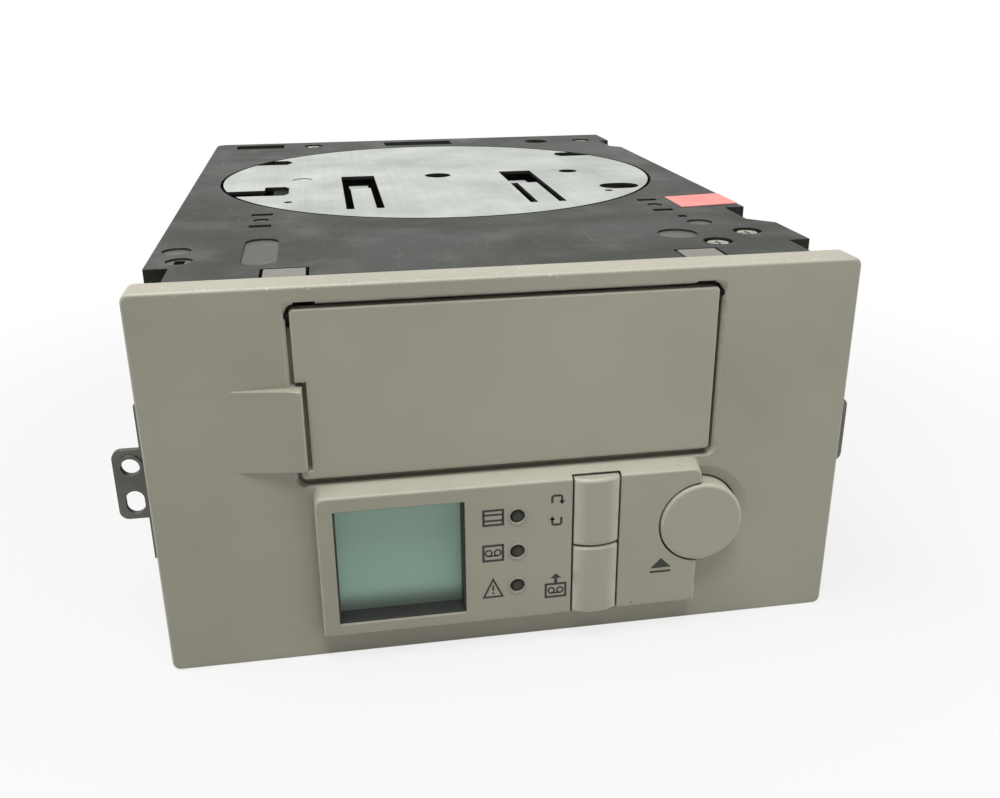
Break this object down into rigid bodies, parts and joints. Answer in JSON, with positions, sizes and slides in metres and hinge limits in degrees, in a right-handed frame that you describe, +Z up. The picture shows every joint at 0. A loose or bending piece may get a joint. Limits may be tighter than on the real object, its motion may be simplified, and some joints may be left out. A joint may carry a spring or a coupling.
{
  "type": "tape autoloader",
  "caption": "Internal tape autoloader for a full-height drive bay: hinged magazine door, raised control console, turntable in the lid, cartridge lift and a tape drive below.",
  "frame": {"origin": "middle of the footprint, on the underside", "axes": "+X right seen from the front, +Y from the bezel to the rear, +Z up"},
  "size_m": [0.1664, 0.2168, 0.0835],
  "materials": {
    "bezel_plastic": "fine moulded grain",
    "door_plastic": "fine moulded grain",
    "button_plastic": "satin",
    "dark_plastic": "satin, lightly scuffed",
    "black_plastic": "matt",
    "white_plastic": "satin",
    "display_glass": "polished",
    "lamp_lens": "clear",
    "board": "solder mask",
    "cable_film": "film",
    "sheet_steel": "zinc plated",
    "disc_steel": "matt plated",
    "bright_steel": "ground",
    "screw_steel": "plated",
    "black_steel": "black phosphate",
    "cast_alloy": "as cast",
    "drum_alloy": "polished",
    "bronze": "sintered",
    "gear_plastic": "acetal",
    "motor_can": "plated",
    "sticker": "plain coated paper"
  },
  "bodies": {
    "chassis": {"bezel": "bezel_plastic", "tact_switches": "black_plastic", "lcd_frame": "black_plastic", "lcd_glass": "display_glass", "lcd_backlight": "white_plastic", "light_pipes": "lamp_lens", "status_lamps": "white_plastic", "panel_board": "board", "panel_screws": "screw_steel", "panel_cable": "cable_film", "cable_headers": "white_plastic", "chassis_pan": "sheet_steel", "rear_panel": "sheet_steel", "mid_deck": "sheet_steel", "top_frame": "dark_plastic", "ear_bracket_left": "sheet_steel", "ear_bracket_right": "sheet_steel", "turntable_spindle": "bright_steel", "turntable_motor": "motor_can", "lift_motor": "motor_can", "guide_rods": "bright_steel", "screw_bushes": "bronze", "drive_frame": "cast_alloy", "drive_cover": "sheet_steel", "drum_base": "cast_alloy", "tape_guides": "bright_steel", "drive_rails": "sheet_steel", "controller_board": "board", "board_posts": "screw_steel", "data_connector": "black_plastic", "power_connector": "white_plastic", "top_screws": "screw_steel", "side_screws": "screw_steel", "top_label": "sticker"},
    "door": {"magazine_door": "door_plastic", "door_pins": "black_steel"},
    "eject_key": {"eject_button": "button_plastic", "eject_plunger": "black_plastic"},
    "upper_key": {"upper_button": "button_plastic", "upper_plunger": "black_plastic"},
    "lower_key": {"lower_button": "button_plastic", "lower_plunger": "black_plastic"},
    "turntable": {"turntable_disc": "disc_steel", "turntable_base": "dark_plastic", "magazine_guides": "black_steel", "turntable_gear": "gear_plastic", "spindle_bush": "bronze"},
    "turntable_drive": {"turntable_pinion": "gear_plastic"},
    "lift": {"lift_carriage": "black_plastic", "carriage_bushes": "bronze", "lift_nut": "bronze"},
    "lift_spindle": {"lift_screw": "bright_steel"},
    "lift_drive": {"lift_pinion": "gear_plastic"},
    "picker": {"picker": "gear_plastic"},
    "drum": {"head_drum": "drum_alloy"},
    "capstan": {"capstan": "bright_steel"},
    "supply_reel": {"supply_reel_table": "black_plastic"},
    "takeup_reel": {"takeup_reel_table": "black_plastic"}
  },
  "joints": [
    {"name": "door_hinge", "type": "hinge", "parent": "chassis", "child": "door", "pos_m": [0, -0.10205, 0.0774], "axis": [-1, 0, 0], "range_deg": [-88, 0]},
    {"name": "eject_press", "type": "slide", "parent": "chassis", "child": "eject_key", "axis": [0, 1, 0], "range_m": [0, 0.0012], "stiffness_N_per_m": 900},
    {"name": "upper_press", "type": "slide", "parent": "chassis", "child": "upper_key", "axis": [0, 1, 0], "range_m": [0, 0.0012], "stiffness_N_per_m": 700},
    {"name": "lower_press", "type": "slide", "parent": "chassis", "child": "lower_key", "axis": [0, 1, 0], "range_m": [0, 0.0012], "stiffness_N_per_m": 700},
    {"name": "turntable_turn", "type": "hinge", "parent": "chassis", "child": "turntable", "pos_m": [0, 0.0234, 0.04], "axis": [0, 0, 1], "range_deg": [0, 180]},
    {"name": "turntable_pinion_turn", "type": "hinge", "parent": "chassis", "child": "turntable_drive", "pos_m": [0.0615, 0.0234, 0.038], "axis": [0, 0, 1], "range_deg": [-1296, 0]},
    {"name": "lift_travel", "type": "slide", "parent": "chassis", "child": "lift", "axis": [0, 0, 1], "range_m": [0, 0.05]},
    {"name": "lift_screw_turn", "type": "hinge", "parent": "chassis", "child": "lift_spindle", "pos_m": [0.0605, -0.0651, 0.04], "axis": [0, 0, 1], "range_deg": [0, 2250.01]},
    {"name": "lift_pinion_turn", "type": "hinge", "parent": "chassis", "child": "lift_drive", "pos_m": [0.0605, -0.0507, 0.006], "axis": [0, 0, 1], "range_deg": [-4500.01, 0]},
    {"name": "picker_travel", "type": "slide", "parent": "lift", "child": "picker", "axis": [0, 1, 0], "range_m": [0, 0.022]},
    {"name": "drum_spin", "type": "hinge", "parent": "chassis", "child": "drum", "pos_m": [0, 0.0464, 0.02], "axis": [0, 0, 1], "continuous": true},
    {"name": "capstan_spin", "type": "hinge", "parent": "chassis", "child": "capstan", "pos_m": [0.025, 0.0184, 0.015], "axis": [0, 0, 1], "continuous": true},
    {"name": "supply_reel_spin", "type": "hinge", "parent": "chassis", "child": "supply_reel", "pos_m": [-0.015, -0.0076, 0.012], "axis": [0, 0, 1], "continuous": true},
    {"name": "takeup_reel_spin", "type": "hinge", "parent": "chassis", "child": "takeup_reel", "pos_m": [0.015, -0.0076, 0.012], "axis": [0, 0, 1], "continuous": true}
  ],
  "couplings": [
    {"joint": "turntable_pinion_turn", "follows": "turntable_turn", "ratio": -7.2},
    {"joint": "lift_screw_turn", "follows": "lift_travel", "rad_per_m": 785.4},
    {"joint": "lift_pinion_turn", "follows": "lift_travel", "rad_per_m": -1570.8}
  ]
}
